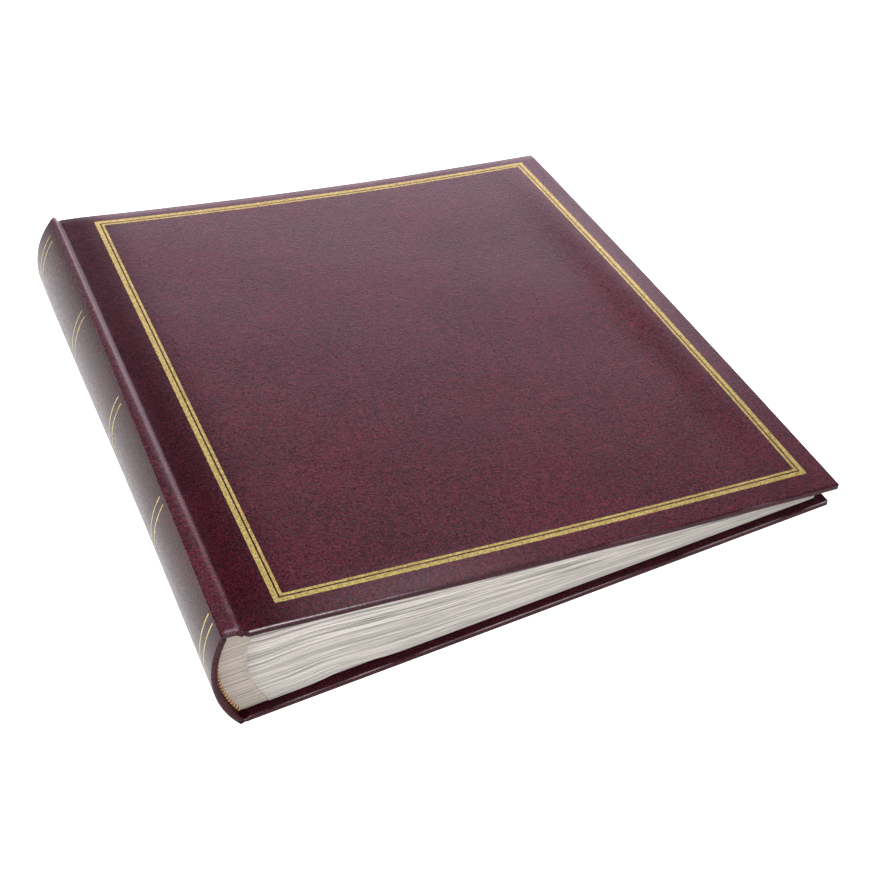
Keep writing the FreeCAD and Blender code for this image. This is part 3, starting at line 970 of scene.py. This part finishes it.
def slab(name, node, body, slot, material, place, u_span, v_spans, depth_span, step=8 * MM):
    """Flat or curved stock that fills (u, v, depth) spans, placed on the settled shape."""
    patches = []
    for v_low, v_high in v_spans:
        u_lines = lines((*u_span, step))
        v_lines = lines((v_low, v_high, step))
        u, v = grid(u_lines, v_lines)
        for depth in depth_span:
            patches.append(place(stack(u, v, depth)))
        u, q = grid(u_lines, np.array(depth_span))
        for end in (v_low, v_high):
            patches.append(place(stack(u, end, q)))
        v, q = grid(v_lines, np.array(depth_span))
        for end in u_span:
            patches.append(place(stack(end, v, q)))
    piece = make(name, patches, material, smooth_faces=False)
    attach(piece, body)
    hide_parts(node)
    return piece


def depth_of(node):
    """How deep a lining's face lies under the spine's, and how far its arc stops short of the heel."""
    low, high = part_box(node)
    radius = spine_centre[0] - low.x
    half = math.asin(min(1.0, (high.z - low.z) / 2 / radius))
    return spine_radius - radius, (spine_half - half) * spine_radius


def spans_of(node):
    return step_values(vertices(node)[:, 1]).reshape(-1, 2)


inset = 0.45 * MM
for name, node, body, cover, place, start in (
    ("board_front", "front_board", "front_cover", front, front_place, 0.2 * MM),
    ("board_back", "back_board", "back_cover", back, back_place, 1.5 * MM),
):
    slab(
        name, node, body, "grey_board", board, place,
        (start, cover.width - inset), [(cover.tail + inset, cover.head - inset)],
        (inset, cover.thick - inset),
    )
for name, node, slot, material, thickness in (
    ("stiffener", "spine_stiffener", "grey_board", board, 1.9 * MM),
    ("tapes", "sewing_tapes", "gauze", tape, 0.3 * MM),
    ("mull", "mull_lining", "gauze", gauze, 0.25 * MM),
):
    depth, short = depth_of(node)
    slab(
        name, node, "spine", slot, material, spine_place,
        (short + 0.3 * MM, spine_arc - short - 0.3 * MM), spans_of(node),
        (depth + 0.05 * MM, depth + thickness), step=2.5 * MM,
    )


def pastedown(name, node, cover, place, body, margin, start):
    """Paper on the inside of a cover, with the edges of the turn-ins showing through it."""
    near = TURN_IN - 2 * MM, TURN_IN + 2 * MM
    u = lines(
        (start, cover.width - margin, 5 * MM), (cover.width - near[1], cover.width - near[0], 0.5 * MM)
    )
    v = lines(
        (cover.tail + margin, cover.head - margin, 5 * MM),
        (cover.tail + near[0], cover.tail + near[1], 0.5 * MM),
        (cover.head - near[1], cover.head - near[0], 0.5 * MM),
    )
    u_grid, v_grid = grid(u, v)
    sunk = 0.15 * MM * smooth((cover.inside(u_grid, v_grid) - TURN_IN) / MM + 0.5)
    sides = [place(stack(u_grid, v_grid, cover.thick + depth - sunk)) for depth in (0.19 * MM, 0.03 * MM)]
    patches = [sides[0]]
    for take in ((slice(None), 0), (slice(None), -1), (0, slice(None)), (-1, slice(None))):
        patches.append(np.stack([side[take] for side in sides], 1))
    piece = make(name, patches, endpaper, tone=1.0)
    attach(piece, body)
    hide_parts(node)


pastedown("paste_front", "front_pastedown", front, front_place, "front_cover", 4.4 * MM, 1.0 * MM)
pastedown("paste_back", "back_pastedown", back, back_place, "back_cover", 5.2 * MM, 4.0 * MM)


# ---- the book block

guard_rises = guard_low.z + (np.arange(sheet_count) + 0.5) / sheet_count * (guard_high.z - guard_low.z)
sheet_pitch = (guard_high.z - guard_low.z) / sheet_count
lowest_fore = fore_rise(leaf_names[-1]) - 0.08 * MM
highest_fore = fore_rise(leaf_names[0]) + 0.09 * MM


def fan(number, share):
    """The height of one sheet, counted from the bottom, at shares of the way to the fore edge."""
    travel = share * PAGE_WIDTH
    arch = ARCH * mound(travel, ARCH_AT, ARCH_WIDTH) * smooth(travel / (8 * MM))
    below = guard_low.z + (lowest_fore - guard_low.z) * share + arch
    above = guard_high.z + (highest_fore - guard_high.z) * share
    weights = []
    for sheet in range(sheet_count):
        uneven = 1 + UNEVEN_PITCH * (1 - 0.8 * share) * ripple(200 + sheet, 170.0, travel / MM)
        gap = (SHEET_GAPS.get(sheet, 1.0) - 1) * (1 - share) ** 0.8 * smooth(travel / GAPS_OPEN_AFTER)
        weights.append(np.maximum(uneven, 0.35) + gap)
    weights = np.array(weights)
    reached = (weights[:number].sum(0) + weights[number] / 2) / weights.sum(0)
    even = (number + 0.5) / sheet_count
    place = even + (reached - even) * smooth(travel / PITCH_FREE_AFTER)
    return below + (above - below) * place


def sheet_patch(number, seed, inset=0.0):
    """One sheet from just inside its guard to the fore edge, and its page coordinates."""
    rise = guard_rises[number]
    start = crease(rise)
    length = fore_edge - start
    stations = lines((-1.5, 0.5, 0.5), (0.5, 6, 1.1), (6, 30, 4), (30, length / MM, 8)) * MM
    share = np.clip(stations / length, 0, 1)
    height = np.where(stations < 0, rise, fan(number, share))
    u, v = grid(stations, np.linspace(block_tail, block_head, 18))
    level = number / sheet_count
    lean, lift = lean_at(v, rise)
    settled = 1 - smooth(u / SETTLED_WITHIN)
    x = start + u + lean * settled
    cover_u = (x - front.origin[0]) / front.along[0]
    z = height[:, None] + lift * settled + warp(cover_u, v) * level**1.5
    drift = DRIFT * level * (1 - level) * smooth(u / (40 * MM)) * (1 - 0.8 * share[:, None])
    z = z + drift * ripple(90, 180.0, u / MM, v / MM)
    x[-1] += 0.25 * MM * ripple(seed + 5, 80.0, v[0] / MM) - inset
    y = v.copy()
    uneven = np.random.default_rng(seed).uniform(-0.22, 0.26, 2) * MM
    y[:, 0] += uneven[0]
    y[:, -1] -= uneven[1]
    y[:, 0] += inset + RAGGED * ripple(seed, 60.0, stations / MM)
    y[:, -1] -= inset + RAGGED * ripple(seed + 1, 60.0, stations / MM)
    return stack(x, y, z), stack(u, v - block_tail)


def bend_at_crease(piece, body):
    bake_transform(piece)


def thicken(piece, thickness, at_fore_edge=None):
    """Give a sheet its thickness: even, or fullest near the spine and thinning to the fore edge."""
    shell = piece.modifiers.new("paper", "SOLIDIFY")
    shell.thickness = thickness
    shell.offset = 0.0
    if at_fore_edge is None:
        return
    stock = piece.vertex_groups.new(name="stock")
    thinnest = at_fore_edge / thickness
    start = min(vertex.co.x for vertex in piece.data.vertices)
    for vertex in piece.data.vertices:
        travel = vertex.co.x - start
        full = smooth(travel / FULL_AFTER) * (1 - travel / (fore_edge + MM - start))
        stock.add([vertex.index], thinnest + (1 - thinnest) * max(0.0, float(full)), "REPLACE")
    shell.vertex_group = stock.name


def album_leaves():
    tones = np.random.default_rng(5)
    for order, node in enumerate(leaf_names):
        section = sections[order // leaves_per_section]
        patches, coordinates, tone = [], [], []
        for layer in range(0, SHEETS_PER_LEAF, 2):
            number = SHEETS_PER_LEAF * (len(leaf_names) - 1 - order) + layer
            place, uv = sheet_patch(number, 300 + 7 * number)
            patches.append(place)
            coordinates.append(uv.reshape(-1, 2))
            tone.append(np.full(len(coordinates[-1]), tones.uniform(0.62, 1.1)))
        uv, tone = np.concatenate(coordinates), np.concatenate(tone)
        piece = make("page_" + node[-2:], patches, page, uv=uv, tone=tone, weld=False)
        thicken(piece, PAGE_STOCK, PAGE_STOCK_AT_FORE_EDGE)
        bend_at_crease(piece, section)
        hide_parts(node)


def glassine_sheets():
    tones = np.random.default_rng(6)
    for group, section in enumerate(sections):
        patches, tone = [], []
        lowest = SHEETS_PER_LEAF * (len(leaf_names) - (group + 1) * leaves_per_section)
        for layer in range(1, SHEETS_PER_LEAF * leaves_per_section, 2):
            place, _ = sheet_patch(lowest + layer, 1200 + 7 * (lowest + layer), inset=0.5 * MM)
            patches.append(place)
            tone.append(np.full(place.shape[0] * place.shape[1], tones.uniform(0.5, 1.0)))
        piece = make("glassine_" + section[-2:], patches, glassine, tone=np.concatenate(tone), weld=False)
        thicken(piece, GLASSINE_STOCK)
        bend_at_crease(piece, section)
        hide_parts("interleaves_" + section[-2:])


def folded_guards():
    """The folded guards: thin strips, thicker where their leaves are hinged on."""
    patches, tones = [], []
    chance = np.random.default_rng(8)
    for number, rise in enumerate(guard_rises):
        start, end = guard_back(rise), crease(rise) + 0.2 * MM
        back_by = OPEN_BY if number in OPEN_GUARDS else 0.0
        x = np.array([start, start + 3 * MM, end - 2.0 * MM, end - 1.4 * MM, end])
        half = sheet_pitch * np.array([0.47, 0.492, 0.492, 0.498, 0.498])
        edges = (
            block_tail + chance.uniform(-0.08, 0.12) * MM + back_by,
            block_head - chance.uniform(-0.08, 0.12) * MM - back_by,
        )
        corners = []
        for side, v in ((-1, edges[0]), (1, edges[0]), (1, edges[1]), (-1, edges[1])):
            lean, lift = lean_at(v, rise)
            corners.append(stack(x + lean, v, rise + lift + side * half))
        strip = np.stack(corners + corners[:1], 1)
        ends = [np.stack([strip[i, :2], strip[i, [3, 2]]], 0) for i in (0, -1)]
        tone = chance.uniform(0.80, 1.06)
        for patch in [strip, *ends]:
            patches.append(patch)
            tones.append(np.full(patch.shape[0] * patch.shape[1], tone))
    piece = make("guards", patches, guard_paper, smooth_faces=False, tone=np.concatenate(tones), weld=False)
    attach(piece, "spine")
    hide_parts("guard_strips")


def flyleaf(name, node, joint, body, lift):
    """A flyleaf from its hinge to the fore edge, where its plate lies in the frame."""
    hinge = joint_at[joint]
    length = fore_edge - hinge[0]
    stations = lines((-1.0, 1.0, 0.5), (1, 60, 3), (60, length / MM, 8)) * MM
    u, v = grid(stations, np.linspace(block_tail, block_head, 24))
    share = np.clip(u / length, 0, 1)
    z = hinge[2] + (fore_rise(node) - hinge[2]) * share + lift(u, v)
    piece = make(name, [stack(hinge[0] + u, v, z)], endpaper, tone=1.0, weld=False)
    thicken(piece, FLYLEAF_STOCK)
    bend_at_crease(piece, body)
    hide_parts(node)


def follow_cover(u, v):
    x = joint_at["front_flyleaf_turn"][0] + u
    return warp((x - front.origin[0]) / front.along[0], v)


def ride_up(u, v):
    """How far the back flyleaf lifts off the board."""
    return RIDE_UP * mound(u, RIDE_UP_AT, RIDE_UP_WIDTH) * smooth((u - 8 * MM) / (10 * MM))


album_leaves()
glassine_sheets()
folded_guards()
flyleaf("flyleaf_front", "front_flyleaf", "front_flyleaf_turn", "front_flyleaf_body", follow_cover)
flyleaf("flyleaf_back", "back_flyleaf", "back_flyleaf_turn", "back_flyleaf_body", ride_up)


# ---- headbands


def headband(name, node):
    """A cord with stitches wound round it, in two colours of thread."""
    low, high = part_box(node)
    thick = (high.y - low.y) / 2 * 0.8
    middle_y = block_tail if low.y < 0 else block_head
    radius = spine_radius - SHELL_THICK - thick
    half = math.asin(min(0.99, ((high.z - low.z) / 2 - thick * 0.5) / radius))
    pitch = 1.05 * MM
    count = int(2 * half * radius / pitch)
    turns = np.linspace(0, 2 * math.pi, 13)
    patches, colours = [], []
    for stitch in range(count):
        angle = math.pi + half - (stitch + 0.5) / count * 2 * half
        out = np.array([math.cos(angle), 0.0, math.sin(angle)])
        along = np.array([math.sin(angle), 0.0, -math.cos(angle)])
        middle = spine_centre + out * radius
        lean, lift = lean_at(middle_y, middle[2])
        middle = np.array([middle[0] + lean, middle_y, middle[2] + lift])
        rings = []
        for side in np.linspace(0, 2 * math.pi, 9):
            wide = pitch * 0.5 * math.cos(side)
            round_it = thick * (0.80 + 0.26 * math.sin(side))
            slant = 0.45 * pitch * np.sin(turns)
            ring = (
                middle
                + np.outer(np.cos(turns) * round_it, out)
                + np.outer(np.sin(turns) * round_it, TAIL_TO_HEAD)
                + np.outer(wide + slant, along)
            )
            rings.append(ring)
        patches.append(np.stack(rings))
        colours.append(stitch % 2)
    piece = make(name, patches, gold_thread, weld=False)
    piece.data.materials.append(wine_thread)
    per_stitch = len(piece.data.polygons) // count
    for number, colour in enumerate(colours):
        for polygon in piece.data.polygons[number * per_stitch : (number + 1) * per_stitch]:
            polygon.material_index = colour
    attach(piece, "spine")
    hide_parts(node)


headband("tail_band", "tail_headband")
headband("head_band", "head_headband")


# ---- light, floor and camera

scene = bpy.context.scene
scene.view_settings.view_transform = "Standard"
scene.view_settings.look = "None"
scene.view_settings.exposure = 0.0
scene.view_settings.gamma = 1.0


# The room's light by direction: full in front of the album, little behind it, more overhead,
# and a pale lilac backdrop low down behind the head.
ROOM_IN_FRONT = 0.80
ROOM_BEHIND = 0.05
ROOM_OVERHEAD = 0.7
ROOM_SIDE = (-0.2, 0.5)  # from in front to behind, between these directions along Y
OVERHEAD_TOP = (0.78, 0.92)  # the light overhead starts between these heights of direction
FLOOR_LIGHT = 0.9
BACKDROP_TOP = (0.34, 0.52)  # the backdrop fades out between these heights of direction
BACKDROP_SIDE = (0.35, 0.62)
BACKDROP_LEFT = (-0.60, -0.05)
BACKDROP_RIGHT = (0.60, 0.80)
BACKDROP_COLOUR = (2.7, 2.25, 2.65)


def studio_world():
    world = bpy.data.worlds.new("studio")
    scene.world = world
    world.use_nodes = True
    sky = Nodes(world.node_tree)
    direction = sky.add("ShaderNodeTexCoord").outputs["Generated"]
    across, ahead, up = sky.add("ShaderNodeSeparateXYZ", {0: direction}).outputs

    def ramp(value, span, out_low, out_high):
        return sky.spread(value, *span, out_low, out_high, interpolation_type="SMOOTHSTEP")

    room = ramp(ahead, ROOM_SIDE, ROOM_IN_FRONT, ROOM_BEHIND)
    overhead = ramp(up, OVERHEAD_TOP, 0.0, ROOM_OVERHEAD)
    backdrop = BACKDROP_COLOUR
    for value, span, out_low, out_high in (
        (across, BACKDROP_LEFT, 0.0, 1.0),
        (across, BACKDROP_RIGHT, 1.0, 0.0),
        (ahead, BACKDROP_SIDE, 0.0, 1.0),
        (up, BACKDROP_TOP, 1.0, 0.0),
    ):
        backdrop = sky.scaled(backdrop, ramp(value, span, out_low, out_high))
    light = sky.vectors("ADD", sky.vectors("ADD", room, overhead), backdrop)
    seen = sky.add("ShaderNodeLightPath").outputs["Is Camera Ray"]
    shade = sky.add("ShaderNodeBackground", {"Color": sky.vectors("MAXIMUM", light, seen)})
    sky.add("ShaderNodeOutputWorld", {"Surface": shade.outputs[0]})


def studio_floor():
    mesh = bpy.data.meshes.new("floor")
    side = 8.0
    corners = [(-side, -side, 0), (side, -side, 0), (side, side, 0), (-side, side, 0)]
    mesh.from_pydata(corners, [], [(0, 1, 2, 3)])
    finish = Finish("floor_white")
    seen = finish.add("ShaderNodeLightPath").outputs["Is Camera Ray"]
    lit = finish.surface(
        Base_Color=rgb(0.8, 0.8, 0.8),
        Roughness=0.9,
        Emission_Color=rgb(1.0, 1.0, 1.0),
        Emission_Strength=finish.spread(seen, 0.0, 1.0, FLOOR_LIGHT, 1.0),
    )
    mesh.materials.append(finish.done(lit))
    floor = bpy.data.objects.new("floor", mesh)
    floor.location.z = cad_bounds[0][2] - 0.05 * MM
    scene.collection.objects.link(floor)


def softbox(name, place, aim, size, power):
    light = bpy.data.lights.new(name, "AREA")
    light.shape = "RECTANGLE"
    light.size, light.size_y = size
    light.energy = power
    lamp = bpy.data.objects.new(name, light)
    lamp.location = place
    lamp.rotation_euler = (Vector(aim) - Vector(place)).to_track_quat("-Z", "Y").to_euler()
    scene.collection.objects.link(lamp)


studio_world()
studio_floor()
softbox("overhead", (0.05, 0.1, 1.5), (0.0, 0.0, 0.0), (0.35, 0.35), 8.5)

CAMERA_PLACE = (-0.19209, -0.5409, 0.4953)
LOOKS = Vector((0.2644, 0.6869, -0.6769)).normalized()
TOP = Vector((0.3047, 0.6064, 0.7344))
lens = bpy.data.cameras.new("camera")
lens.sensor_width = 36.0
lens.lens = 60.52
camera = bpy.data.objects.new("camera", lens)
side_way = LOOKS.cross(TOP).normalized()
turned = Matrix((side_way, side_way.cross(LOOKS), -LOOKS)).transposed()
camera.matrix_world = Matrix.Translation(CAMERA_PLACE) @ turned.to_4x4()
scene.collection.objects.link(camera)
scene.camera = camera
